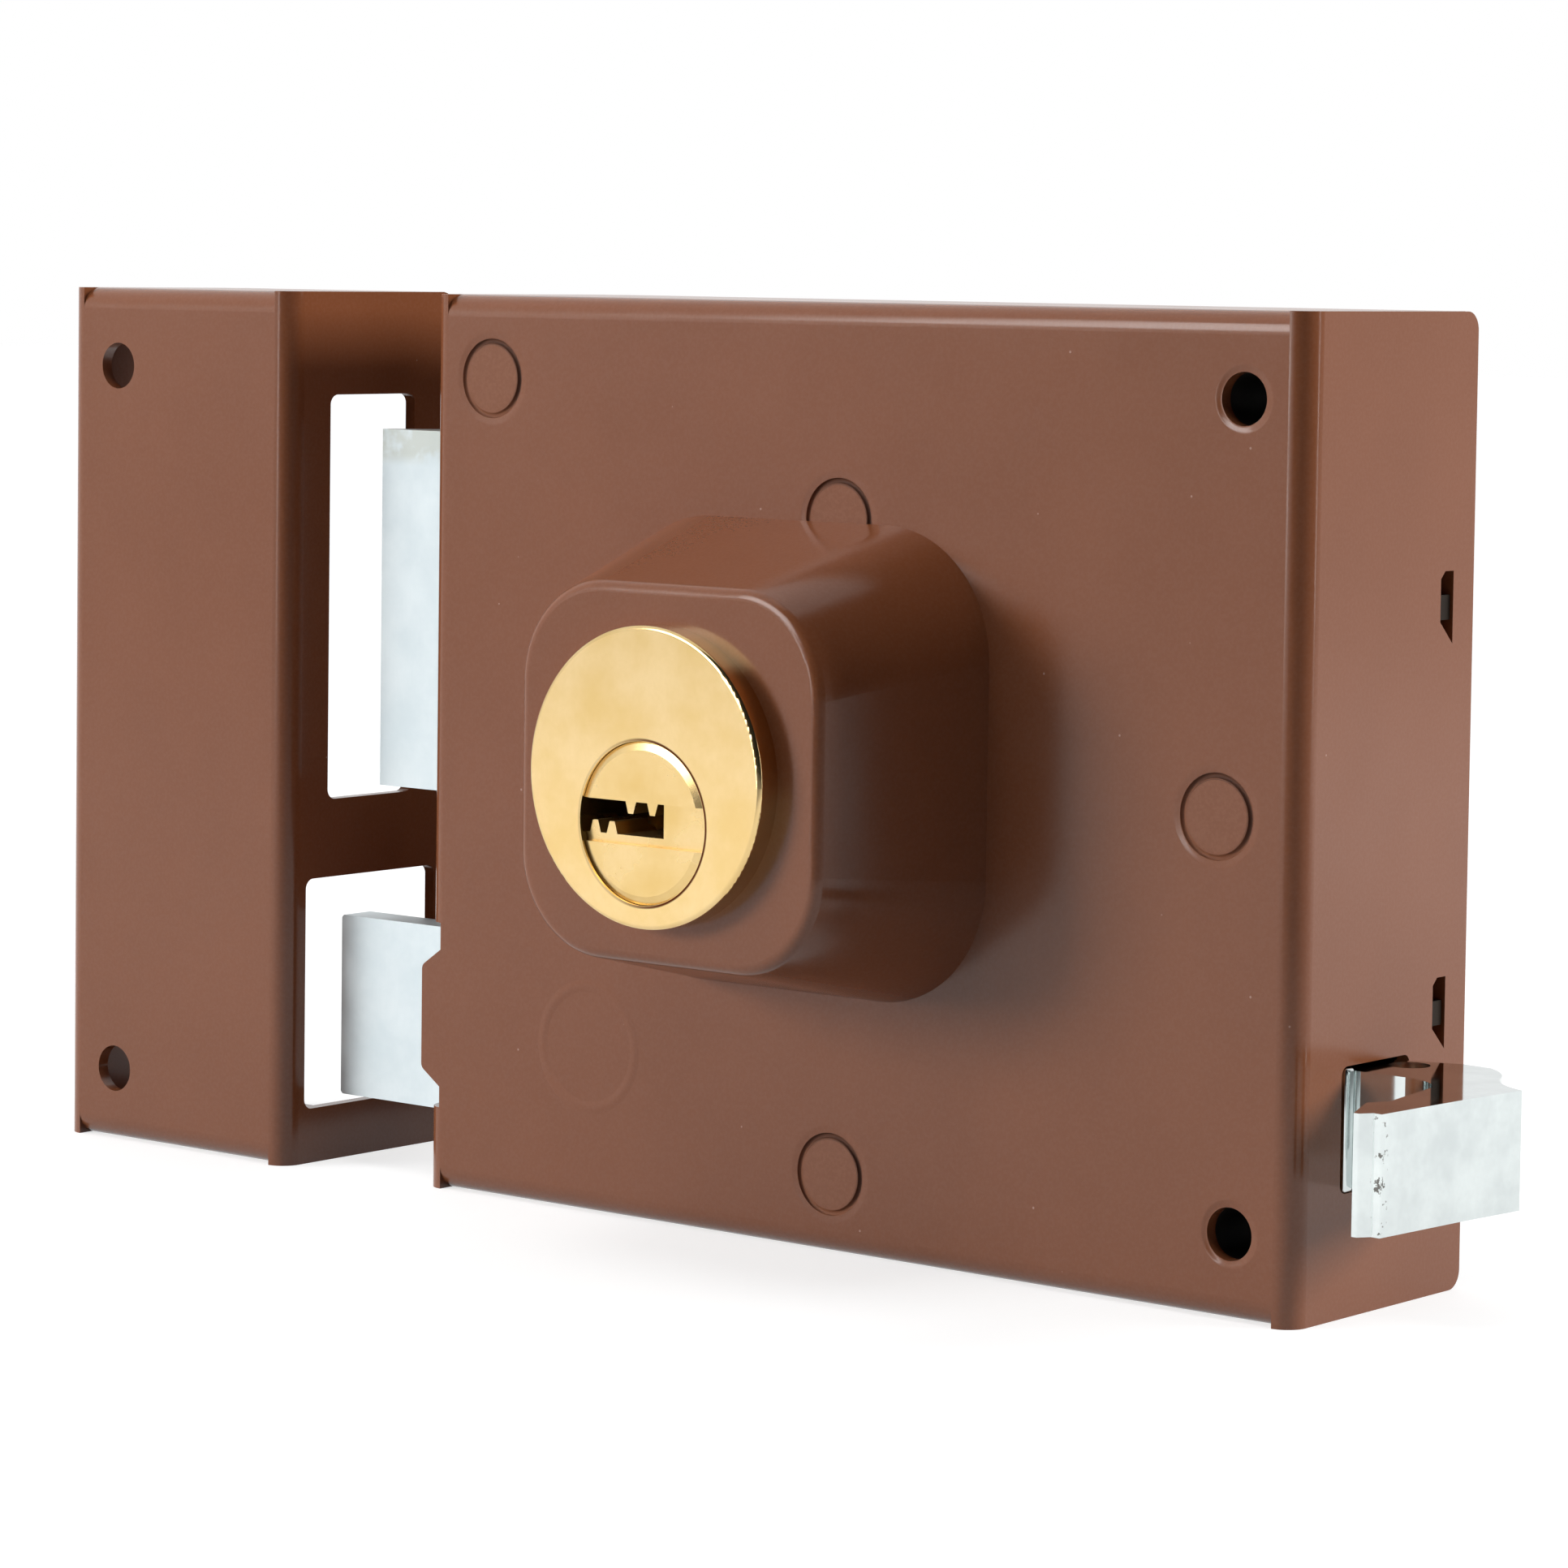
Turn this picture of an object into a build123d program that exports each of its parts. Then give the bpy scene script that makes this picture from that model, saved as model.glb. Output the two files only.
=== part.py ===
"""Rim box lock and its strike box, each piece a separate solid, in millimetres.

X runs from the strike towards the pull, Y from the front towards the door, Z up.
The origin is on the back of the case, on the axis of the cylinder plug.
"""

import os

from build123d import *

os.makedirs("parts", exist_ok=True)

# Clearances
overrun = 2.0
fixed_gap = 0.2
slide_gap = 0.4
running_gap = 0.05
rivet_gap = 0.05

# Folded sheet, shared by case and strike
sheet = 1.5
fold_radius = 2.5
flap_corner_radius = 2.0
seam = 0.2
window_corner_radius = 1.2

# Case
case_width = 120.0
case_height = 102.7
height_scale = case_height / 102.7
case_depth = 31.4
plug_from_left = 53.5
plug_from_bottom = 48.0 * height_scale
left = -plug_from_left
right = left + case_width
bottom = -plug_from_bottom
top = bottom + case_height
back = 0.0
front = -case_depth
mid_x = (left + right) / 2
mid_z = (bottom + top) / 2
inner_front = front + sheet

# Fixing screw holes of case and strike
screw_hole_radius = 2.75
screw_end_inset = 8.95
screw_pitch = case_height - 2 * screw_end_inset
case_screw_inset = 7.8
strike_screw_inset = 8.5
strike_screw_drop = 0.35
sleeve_radius = 3.9

# Base plate, its ears and the spring bracket
plate = 2.0
plate_front = back - plate
ear_thickness = 2.0
ear_height = 11.0
ear_reach = 8.0
barb_proud = 1.4
slot_front_from_back = 6.3
slot_depth = 2.4
slot_height = 7.6
slot_lower_slant = 2.3
slot_upper_slant = 0.8
upper_slot_from_bottom = 72.0 * height_scale
lower_slot_from_bottom = 29.6 * height_scale
bracket_thickness = 2.0
bracket_width = 10.0
tailpiece_hole_radius = 9.0

# Pillars
pillar_radius = 5.0
pillar_face_radius = 3.9
pillar_hole_radius = 4.5
pillar_spigot_radius = 3.0
corner_pillar_inset = 9.4
lower_pillar_inset = 8.7
side_pillar_inset = 10.3

# Cylinder
disc_rise = 4.8
disc_radius = 16.0
disc_proud = 2.9
disc_edge = 0.5
barrel_radius = 15.3
barrel_behind_front = 4.2
clip_groove_radius = 14.6
clip_radius = 17.2
clip_thickness = 1.4
plug_radius = 8.6
plug_chamfer = 0.9
plug_chamfer_depth = 0.35
plug_tail_radius = 5.0
plug_tail_flat = 4.2
plug_tail_length = 5.7
tail_slot_width = 2.2
tail_slot_depth = 2.6
band_height = 4.6
band_drop = 0.1
band_depth = 0.9
keyway_height = 3.6
keyway_right = 2.3
keyway_rise = 0.3
keyway_end_wall = 2.2
ward_depth = 1.3
ward_root = 1.5
ward_tip = 0.7
upper_ward_shares = [-0.27, 0.08]
lower_ward_shares = [-0.84, -0.57]

# Pin stacks
pin_count = 6
pin_pitch = 3.6
first_pin_behind_disc = 5.6
pin_radius = 1.4
chamber_radius = 1.45
shear_gap = 0.15
driver_length = 4.6
chamber_roof = 1.2
pin_spring_radius = 1.25
pin_spring_bore = 0.85
key_pin_tip = 0.7
cut_depth_shares = [0.15, 0.35, 0.25, 0.45, 0.2, 0.4]

# Housing
housing_height = 21.2
housing_face_width = 41.0
housing_face_height = 39.9
housing_base_width = 52.6
housing_base_height = 51.0
housing_shift = 0.7
housing_base_rise = 0.8
housing_face_corner = 11.0
housing_base_corner = 14.0
housing_rim = 1.3
housing_screw_spread_x = 17.5
housing_screw_spread_z = 17.0
housing_screw_radius = 1.5
housing_screw_depth = 8.0
screw_head_radius = 2.7
screw_head_height = 1.7
screw_socket_radius = 1.3
screw_socket_depth = 1.0

# Cam on the plug's tail
cam_front = front + barrel_behind_front + slide_gap
cam_thickness = 3.8
cam_radius = 8.2
cam_tooth_reach = 13.0
cam_tooth_root = 5.0
cam_tooth_tip = 3.4
circlip_thickness = 0.7
circlip_radius = 6.4
circlip_bore = 4.4
circlip_mouth = 5.0

# Deadbolt, its tail and its window in the case
deadbolt_from_front = 4.3
deadbolt_thickness = 4.5
deadbolt_low = 8.3 * height_scale
deadbolt_height = 21.2 * height_scale
deadbolt_out = 17.7
deadbolt_head_length = 53.0
tail_pillar_gap = 0.8
deadbolt_tail_low = lower_pillar_inset + pillar_radius + tail_pillar_gap
deadbolt_length = 93.0
deadbolt_throw = 16.0
lug_cam_gap = 2.3
lug_left = 30.0
lug_right = 61.0
notch_width = 17.0
notch_floor = 6.6
notch_clearance = 0.7
bolt_edge = 0.3
window_low = 7.9 * height_scale
window_high = 30.7 * height_scale
front_cut_low = 9.4 * height_scale
front_cut_reach = 2.2
tongue_reach = 0.65
tongue_root_low = 11.8 * height_scale
tongue_root_high = 27.6 * height_scale
tongue_slant = 2.0
tongue_corner = 0.9
stud_radius = 3.25
stud_spigot_radius = 2.4
stud_front_from_front = 2.2
stud_end_gap = 1.2
near_stud_x = 24.0
near_stud_z = 18.9 * height_scale
far_stud_x = 68.0
far_stud_z = (deadbolt_tail_low + deadbolt_low + deadbolt_height) / 2

# Latch
latch_from_front = 5.6
latch_thickness = 12.0
latch_low = 45.1 * height_scale
latch_top_drop = 15.9
latch_height = case_height - latch_top_drop - latch_low
latch_out = 13.0
latch_length = 37.0
latch_travel = 13.0
latch_nose = 1.2
latch_window_drop = 12.0
slide_thickness = 2.0
slide_layer_gap = 0.1
slide_left = 2.0
slide_neck_x = 25.5
slide_bar_gap = 1.5
slide_bar_low = plug_from_bottom + tailpiece_hole_radius + slide_bar_gap
slide_arm_left = 77.0
slide_arm_right = 91.0
slide_foot_right = 104.0
slide_foot_low = 14.0
slide_foot_high = 25.2
slide_inset = 0.5
spring_lug_left = 34.0
spring_lug_right = 40.0
spring_lug_rise = 11.5
spring_tab_reach = 5.2
spring_tab_low = 2.2
rivet_radius = 1.5
rivet_head_radius = 2.6
rivet_head_height = 0.9
latch_rivet_x = 13.0
latch_rivet_spread = 11.0
latch_rivet_bite = 5.4

# Latch spring and its rod
spring_axis_drop = 9.4
spring_axis_from_front = 15.1
rod_radius = 1.7
rod_overhang = 2.2
spring_radius = 3.5
spring_bore = 2.2
bracket_left = 85.0

# Pull
pull_low = 13.35
pull_height = 12.1
pull_reach = 19.5
pull_span = 34.0
pull_forward = 12.4
neck_front_from_front = 10.0
neck_back_from_front = 19.4
neck_inner_x = 104.5
tang_front_from_front = 13.6
tang_left = 96.0
pull_slot_front_gap = 1.7
pull_slot_back_gap = 1.5
pull_slot_height_gap = 0.5
pull_slot_corner = 1.0
pull_rivet_x = 100.0
pull_rivet_spread = 3.0
pull_hole_radius = 2.15
pull_hole_depth = 1.6
pull_hole_x = 2.4
pull_hole_from_front = 17.2

# Strike box
strike_width = 37.3
strike_depth = 28.0
strike_gap = 20.3
strike_step = 2.55
latch_window_front = 6.9
latch_window_depth = 14.3
strike_latch_window_low = 42.9 * height_scale
strike_latch_window_drop = 12.1
strike_latch_window_height = case_height - strike_latch_window_drop - strike_latch_window_low
bolt_window_front = 3.4
bolt_window_depth = 21.9
bolt_window_low = 6.45 * height_scale
bolt_window_height = 27.25 * height_scale


def layer(y):
    """The plane at depth y that faces the front."""
    return Plane.XZ.offset(-y)


def block(low, high, mode=Mode.ADD):
    """Adds or cuts the box between two opposite corners."""
    middle = tuple((a + b) / 2 for a, b in zip(low, high))
    with Locations(middle):
        Box(*(abs(b - a) for a, b in zip(low, high)), mode=mode)


def rounds(places, radius, y_front, y_back, mode=Mode.ADD):
    """Adds or cuts a round bar along Y at each place (x, z)."""
    with BuildSketch(layer(y_back)) as section:
        with Locations(*places):
            Circle(radius)
    extrude(section.sketch, amount=y_back - y_front, mode=mode)


def outline(points, y_front, y_back):
    """Adds a plate along Y with a straight-sided outline of (x, z) points."""
    with BuildSketch(layer(y_back)) as section:
        with BuildLine():
            Polyline(*points, close=True)
        make_face()
    extrude(section.sketch, amount=y_back - y_front)


def side_window(x, y_front, y_back, z_low, z_high, corner):
    """Cuts a round-cornered window through the upright wall at x."""
    middle = ((y_front + y_back) / 2, (z_low + z_high) / 2)
    with BuildSketch(Plane.YZ.offset(x - sheet - overrun)) as section:
        with Locations(middle):
            RectangleRounded(y_back - y_front, z_high - z_low, corner)
    extrude(section.sketch, amount=2 * (sheet + overrun), mode=Mode.SUBTRACT)


def folded_shell(x_low, x_high, y_low, y_high, z_low, z_high):
    """Adds a box folded from sheet: open at the back, with seams between its flaps."""
    block((x_low, y_low, z_low), (x_high, y_high, z_high))
    uprights = edges().filter_by(Axis.Z).group_by(Axis.Y)[0]
    fillet(uprights, fold_radius)
    block(
        (x_low + sheet, y_low + sheet, z_low + sheet),
        (x_high - sheet, y_high + overrun, z_high - sheet),
        Mode.SUBTRACT,
    )
    inner_rim = edges().filter_by_position(Axis.Y, y_low + sheet, y_low + sheet)
    fillet(inner_rim, fold_radius - sheet)
    long_fold = x_high - x_low - 2 * fold_radius
    for z_edge, inwards in ((z_high, -1), (z_low, 1)):
        with BuildSketch(Plane.YZ.offset(x_low + fold_radius)) as corner:
            with Locations((y_low + fold_radius / 2, z_edge + inwards * fold_radius / 2)):
                Rectangle(fold_radius, fold_radius)
            with Locations((y_low + fold_radius, z_edge + inwards * fold_radius)):
                Circle(fold_radius, mode=Mode.SUBTRACT)
        extrude(corner.sketch, amount=long_fold, mode=Mode.SUBTRACT)
    for x_seam in (x_low + sheet, x_high - sheet - seam):
        for z_seam in (z_low - overrun, z_high - sheet):
            block(
                (x_seam, y_low + fold_radius, z_seam),
                (x_seam + seam, y_high + overrun, z_seam + sheet + overrun),
                Mode.SUBTRACT,
            )
    for x_flap in (x_low, x_high - sheet):
        for z_edge, inwards in ((z_high, -1), (z_low, 1)):
            radius = flap_corner_radius
            with BuildSketch(Plane.YZ.offset(x_flap)) as corner:
                with Locations((y_high - radius / 2, z_edge + inwards * radius / 2)):
                    Rectangle(radius, radius)
                with Locations((y_high - radius, z_edge + inwards * radius)):
                    Circle(radius, mode=Mode.SUBTRACT)
            extrude(corner.sketch, amount=sheet, mode=Mode.SUBTRACT)


def finish(builder, label):
    """Labels a finished piece and writes it to its own file."""
    builder.part.label = label
    export_step(builder.part, f"parts/{label}.step")


# Places worked out from the sizes: the upper pillar stands midway between clip and spring
pillar_z_low = disc_rise + ((clip_radius + pillar_radius) ** 2 - mid_x ** 2) ** 0.5
pillar_z_high = top - spring_axis_drop - spring_radius - pillar_radius
upper_pillar_z = (pillar_z_low + pillar_z_high) / 2
pillar_places = [
    (left + corner_pillar_inset, top - corner_pillar_inset),
    (mid_x, upper_pillar_z),
    (mid_x, bottom + lower_pillar_inset),
    (right - side_pillar_inset, mid_z),
]
case_screw_places = [
    (right - case_screw_inset, mid_z + side * screw_pitch / 2) for side in (-1, 1)
]
housing_x = housing_shift
housing_z = disc_rise
housing_front = front - housing_height
disc_front = housing_front - disc_proud
barrel_back = front + barrel_behind_front
clip_front = inner_front + fixed_gap
housing_screw_places = [
    (housing_x + side * housing_screw_spread_x, housing_z + up * housing_screw_spread_z)
    for side in (-1, 1)
    for up in (-1, 1)
]
deadbolt_front = front + deadbolt_from_front
deadbolt_back = deadbolt_front + deadbolt_thickness
stud_places = [
    (left + near_stud_x, bottom + near_stud_z),
    (left + far_stud_x, bottom + far_stud_z),
]
latch_front = front + latch_from_front
latch_back = latch_front + latch_thickness
slide_front = latch_back + slide_layer_gap
slide_back = slide_front + slide_thickness
latch_top = latch_low + latch_height
latch_rivet_places = [
    (left + latch_rivet_x, bottom + latch_low + latch_height / 2 + side * latch_rivet_spread)
    for side in (-1, 1)
]
pull_rivet_places = [
    (left + pull_rivet_x, bottom + pull_low + pull_height / 2 + side * pull_rivet_spread)
    for side in (-1, 1)
]
spring_axis = (front + spring_axis_from_front, top - spring_axis_drop)
slot_places = [bottom + lower_slot_from_bottom, bottom + upper_slot_from_bottom]
slot_front = back - slot_front_from_back
strike_right = left - strike_gap
strike_left = strike_right - strike_width
strike_front = front - strike_step
strike_back = strike_front + strike_depth


# Case cover, with every opening that its neighbours need
with BuildPart() as case_cover:
    folded_shell(left, right, front, back, bottom, top)
    rounds(case_screw_places, screw_hole_radius, front - overrun, inner_front, Mode.SUBTRACT)
    rounds(pillar_places, pillar_hole_radius, front - overrun, inner_front, Mode.SUBTRACT)
    rounds([(0, disc_rise)], barrel_radius + fixed_gap, front - overrun, inner_front + overrun,
           Mode.SUBTRACT)
    rounds(housing_screw_places, housing_screw_radius + fixed_gap, front - overrun, inner_front,
           Mode.SUBTRACT)
    side_window(left + sheet, latch_front - slide_gap, latch_back + slide_gap,
                bottom + latch_low - slide_gap, top - latch_window_drop, window_corner_radius)
    block(
        (left - overrun, deadbolt_front - slide_gap, bottom + window_low),
        (left + sheet + overrun, deadbolt_back + slide_gap, bottom + window_high),
        Mode.SUBTRACT,
    )
    block(
        (left - overrun, front - overrun, bottom + front_cut_low),
        (left + front_cut_reach, deadbolt_front, bottom + window_high),
        Mode.SUBTRACT,
    )
    tongue_edge = left - tongue_reach
    tongue_root = left + front_cut_reach + sheet
    tongue_points = [
        (tongue_root, bottom + tongue_root_low),
        (left + front_cut_reach, bottom + tongue_root_low),
        (tongue_edge, bottom + tongue_root_low + tongue_slant),
        (tongue_edge, bottom + tongue_root_high - tongue_slant),
        (left + front_cut_reach, bottom + tongue_root_high),
        (tongue_root, bottom + tongue_root_high),
    ]
    with BuildSketch(layer(inner_front)) as tongue:
        with BuildLine():
            Polyline(*tongue_points, close=True)
        make_face()
        fillet(tongue.vertices().group_by(Axis.X)[0], tongue_corner)
    extrude(tongue.sketch, amount=sheet)
    for slot_z in slot_places:
        slot_points = [
            (slot_front, slot_z - slot_height / 2 + slot_lower_slant),
            (slot_front + slot_depth, slot_z - slot_height / 2),
            (slot_front + slot_depth, slot_z + slot_height / 2),
            (slot_front + slot_upper_slant, slot_z + slot_height / 2),
            (slot_front, slot_z + slot_height / 2 - slot_upper_slant),
        ]
        with BuildSketch(Plane.YZ.offset(right - sheet - overrun)) as slot:
            with BuildLine():
                Polyline(*slot_points, close=True)
            make_face()
        extrude(slot.sketch, amount=sheet + 2 * overrun, mode=Mode.SUBTRACT)
    side_window(right, front + neck_front_from_front - pull_slot_front_gap,
                front + neck_back_from_front + pull_slot_back_gap,
                bottom + pull_low - pull_slot_height_gap,
                bottom + pull_low + pull_height + pull_slot_height_gap, pull_slot_corner)
finish(case_cover, "case_cover")


# Base plate inside the rim, with ears that catch in the side slots
plate_left = left + sheet + fixed_gap
plate_right = right - sheet - fixed_gap
bracket_low = spring_axis[1] - bracket_width / 2
with BuildPart() as base_plate:
    block(
        (plate_left, plate_front, bottom + sheet + fixed_gap),
        (plate_right, back, top - sheet - fixed_gap),
    )
    for slot_z in slot_places:
        block(
            (plate_right - ear_thickness, back - ear_reach, slot_z - ear_height / 2),
            (plate_right, back, slot_z + ear_height / 2),
        )
        barb_front = slot_front + fixed_gap
        barb_back = slot_front + slot_depth - fixed_gap
        barb_half = slot_height / 2 - slot_lower_slant - fixed_gap
        block(
            (plate_right - ear_thickness, barb_front, slot_z - barb_half),
            (plate_right + barb_proud, barb_back, slot_z + barb_half),
        )
    block(
        (left + bracket_left, spring_axis[0] - bracket_width / 2, bracket_low),
        (left + bracket_left + bracket_thickness, back, bracket_low + bracket_width),
    )
    with BuildSketch(Plane.YZ.offset(left + bracket_left - overrun)) as rod_hole:
        with Locations(spring_axis):
            Circle(rod_radius + slide_gap)
    extrude(rod_hole.sketch, amount=bracket_thickness + 2 * overrun, mode=Mode.SUBTRACT)
    rounds([(0, 0)], tailpiece_hole_radius, plate_front - overrun, back, Mode.SUBTRACT)
    rounds(case_screw_places, screw_hole_radius, plate_front - overrun, back, Mode.SUBTRACT)
    rounds(pillar_places, pillar_spigot_radius + rivet_gap, plate_front - overrun, back,
           Mode.SUBTRACT)
    rounds(stud_places, stud_spigot_radius + rivet_gap, plate_front - overrun, back,
           Mode.SUBTRACT)
finish(base_plate, "base_plate")


# Posts that tie the cover to the base plate, flush at both faces
with BuildPart() as case_pillars:
    rounds(pillar_places, pillar_radius, inner_front, plate_front)
    rounds(pillar_places, pillar_face_radius, front, inner_front)
    rounds(pillar_places, pillar_spigot_radius, plate_front, back)
finish(case_pillars, "case_pillars")


# Tubes behind the case's screw holes
with BuildPart() as screw_sleeves:
    rounds(case_screw_places, sleeve_radius, inner_front, plate_front)
    rounds(case_screw_places, screw_hole_radius, inner_front, plate_front, Mode.SUBTRACT)
finish(screw_sleeves, "screw_sleeves")


# Drafted housing around the cylinder
with BuildPart() as cylinder_housing:
    with BuildSketch(layer(front)):
        with Locations((housing_x, housing_z + housing_base_rise)):
            RectangleRounded(housing_base_width, housing_base_height, housing_base_corner)
    with BuildSketch(layer(housing_front)):
        with Locations((housing_x, housing_z)):
            RectangleRounded(housing_face_width, housing_face_height, housing_face_corner)
    loft()
    fillet(faces().sort_by(Axis.Y)[0].edges(), housing_rim)
    rounds([(0, disc_rise)], barrel_radius + running_gap, housing_front - overrun, front,
           Mode.SUBTRACT)
    rounds(housing_screw_places, housing_screw_radius + rivet_gap,
           front - housing_screw_depth - fixed_gap, front, Mode.SUBTRACT)
finish(cylinder_housing, "cylinder_housing")


# Screws that hold the housing from inside the case
with BuildPart() as housing_screws:
    rounds(housing_screw_places, housing_screw_radius, front - housing_screw_depth, inner_front)
    rounds(housing_screw_places, screw_head_radius, inner_front,
           inner_front + screw_head_height)
    rounds(housing_screw_places, screw_socket_radius,
           inner_front + screw_head_height - screw_socket_depth,
           inner_front + screw_head_height, Mode.SUBTRACT)
finish(housing_screws, "housing_screws")


# Brass barrel with its disc front and the fixed half of the pin chambers
pin_ys = [disc_front + first_pin_behind_disc + i * pin_pitch for i in range(pin_count)]
chamber_top = disc_rise + barrel_radius - chamber_roof
with BuildPart() as cylinder_body:
    rounds([(0, disc_rise)], disc_radius, disc_front, housing_front)
    fillet(faces().sort_by(Axis.Y)[0].edges(), disc_edge)
    rounds([(0, disc_rise)], barrel_radius, housing_front, barrel_back)
    with BuildSketch(layer(clip_front + clip_thickness + running_gap)) as groove:
        with Locations((0, disc_rise)):
            Circle(disc_radius)
            Circle(clip_groove_radius, mode=Mode.SUBTRACT)
    extrude(groove.sketch, amount=clip_thickness + 2 * running_gap, mode=Mode.SUBTRACT)
    rounds([(0, 0)], plug_radius + running_gap, disc_front - overrun, barrel_back,
           Mode.SUBTRACT)
    with BuildSketch(Plane.XY.offset(chamber_top)) as chambers:
        with Locations(*((0, y) for y in pin_ys)):
            Circle(chamber_radius)
    extrude(chambers.sketch, amount=-(chamber_top - plug_radius / 2), mode=Mode.SUBTRACT)
finish(cylinder_body, "cylinder_body")


# Horseshoe clip in the barrel's groove, behind the cover
with BuildPart() as cylinder_clip:
    with BuildSketch(layer(clip_front + clip_thickness)):
        with Locations((0, disc_rise)):
            Circle(clip_radius)
            Circle(clip_groove_radius + running_gap, mode=Mode.SUBTRACT)
        with Locations((0, disc_rise - clip_radius)):
            Rectangle(2 * (clip_groove_radius + running_gap), 2 * clip_radius,
                      mode=Mode.SUBTRACT)
    extrude(amount=clip_thickness)
finish(cylinder_clip, "cylinder_clip")


# Fixed halves of the pin stacks: a driver and a spring over each chamber
driver_low = plug_radius + shear_gap
driver_high = driver_low + driver_length
with BuildPart() as driver_pins:
    with BuildSketch(Plane.XY.offset(driver_low)):
        with Locations(*((0, y) for y in pin_ys)):
            Circle(pin_radius)
    extrude(amount=driver_length)
finish(driver_pins, "driver_pins")

with BuildPart() as pin_springs:
    with BuildSketch(Plane.XY.offset(driver_high)):
        with Locations(*((0, y) for y in pin_ys)):
            Circle(pin_spring_radius)
            Circle(pin_spring_bore, mode=Mode.SUBTRACT)
    extrude(amount=chamber_top - driver_high)
finish(pin_springs, "pin_springs")


# Turning plug: keyway with wards, milled band, pin bores and driving tail
keyway_low = keyway_rise - keyway_height / 2
keyway_high = keyway_rise + keyway_height / 2
keyway_back = barrel_back - keyway_end_wall
tail_back = barrel_back + plug_tail_length
with BuildPart() as plug:
    rounds([(0, 0)], plug_radius, disc_front, barrel_back)
    chamfer(faces().sort_by(Axis.Y)[0].edges(), plug_chamfer_depth, plug_chamfer)
    rounds([(0, 0)], plug_tail_radius, barrel_back, tail_back)
    for side in (-1, 1):
        block(
            (side * plug_tail_flat, barrel_back, -plug_tail_radius),
            (side * (plug_tail_flat + plug_tail_radius), tail_back, plug_tail_radius),
            Mode.SUBTRACT,
        )
    circlip_front = cam_front + cam_thickness + running_gap
    with BuildSketch(layer(circlip_front + circlip_thickness + 2 * running_gap)) as ring:
        Circle(plug_radius)
        Circle(circlip_bore - running_gap, mode=Mode.SUBTRACT)
    extrude(ring.sketch, amount=circlip_thickness + 2 * running_gap, mode=Mode.SUBTRACT)
    block(
        (-tail_slot_width / 2, tail_back - tail_slot_depth, -plug_tail_radius),
        (tail_slot_width / 2, tail_back, plug_tail_radius),
        Mode.SUBTRACT,
    )
    with BuildSketch(layer(keyway_back)) as keyway:
        with BuildLine():
            Polyline(
                (-plug_radius - overrun, keyway_low),
                (keyway_right, keyway_low),
                (keyway_right, keyway_high),
                (-plug_radius - overrun, keyway_high),
                close=True,
            )
        make_face()
        for ward_shares, edge, inwards in (
            (upper_ward_shares, keyway_high, -1),
            (lower_ward_shares, keyway_low, 1),
        ):
            for share in ward_shares:
                ward_x = share * plug_radius
                with BuildLine():
                    Polyline(
                        (ward_x - ward_root / 2, edge),
                        (ward_x - ward_tip / 2, edge + inwards * ward_depth),
                        (ward_x + ward_tip / 2, edge + inwards * ward_depth),
                        (ward_x + ward_root / 2, edge),
                        close=True,
                    )
                make_face(mode=Mode.SUBTRACT)
    extrude(keyway.sketch, amount=keyway_back - disc_front + overrun, mode=Mode.SUBTRACT)
    block(
        (-plug_radius, disc_front - overrun, -band_height / 2 - band_drop),
        (plug_radius, disc_front + band_depth, band_height / 2 - band_drop),
        Mode.SUBTRACT,
    )
    with BuildSketch(Plane.XY.offset(keyway_high - ward_depth)) as bores:
        with Locations(*((0, y) for y in pin_ys)):
            Circle(chamber_radius)
    extrude(bores.sketch, amount=plug_radius, mode=Mode.SUBTRACT)
finish(plug, "plug")


# Key pins of uneven length, their heads at the shear line
with BuildPart() as key_pins:
    for y, share in zip(pin_ys, cut_depth_shares):
        tip_z = keyway_high - share * keyway_height
        with BuildSketch(Plane.XY.offset(tip_z + key_pin_tip)) as pin_section:
            with Locations((0, y)):
                Circle(pin_radius)
        extrude(pin_section.sketch, amount=plug_radius - shear_gap - tip_z - key_pin_tip)
        with Locations((0, y, tip_z + key_pin_tip / 2)):
            Cone(pin_radius - key_pin_tip, pin_radius, key_pin_tip)
finish(key_pins, "key_pins")


# Cam with one tooth, pointing up while the deadbolt is thrown
with BuildPart() as plug_cam:
    with BuildSketch(layer(cam_front + cam_thickness)):
        Circle(cam_radius)
        with BuildLine():
            Polyline(
                (-cam_tooth_root / 2, 0),
                (cam_tooth_root / 2, 0),
                (cam_tooth_tip / 2, cam_tooth_reach),
                (-cam_tooth_tip / 2, cam_tooth_reach),
                close=True,
            )
        make_face()
        with BuildSketch(mode=Mode.SUBTRACT):
            Circle(plug_tail_radius + running_gap)
            Rectangle(2 * (plug_tail_flat + running_gap), 2 * cam_radius,
                      mode=Mode.INTERSECT)
    extrude(amount=cam_thickness)
finish(plug_cam, "plug_cam")

with BuildPart() as cam_circlip:
    with BuildSketch(layer(circlip_front + running_gap + circlip_thickness)):
        Circle(circlip_radius)
        Circle(circlip_bore, mode=Mode.SUBTRACT)
        with Locations((0, -circlip_radius)):
            Rectangle(circlip_mouth, 2 * circlip_radius - circlip_bore, mode=Mode.SUBTRACT)
    extrude(amount=circlip_thickness)
finish(cam_circlip, "cam_circlip")


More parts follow.
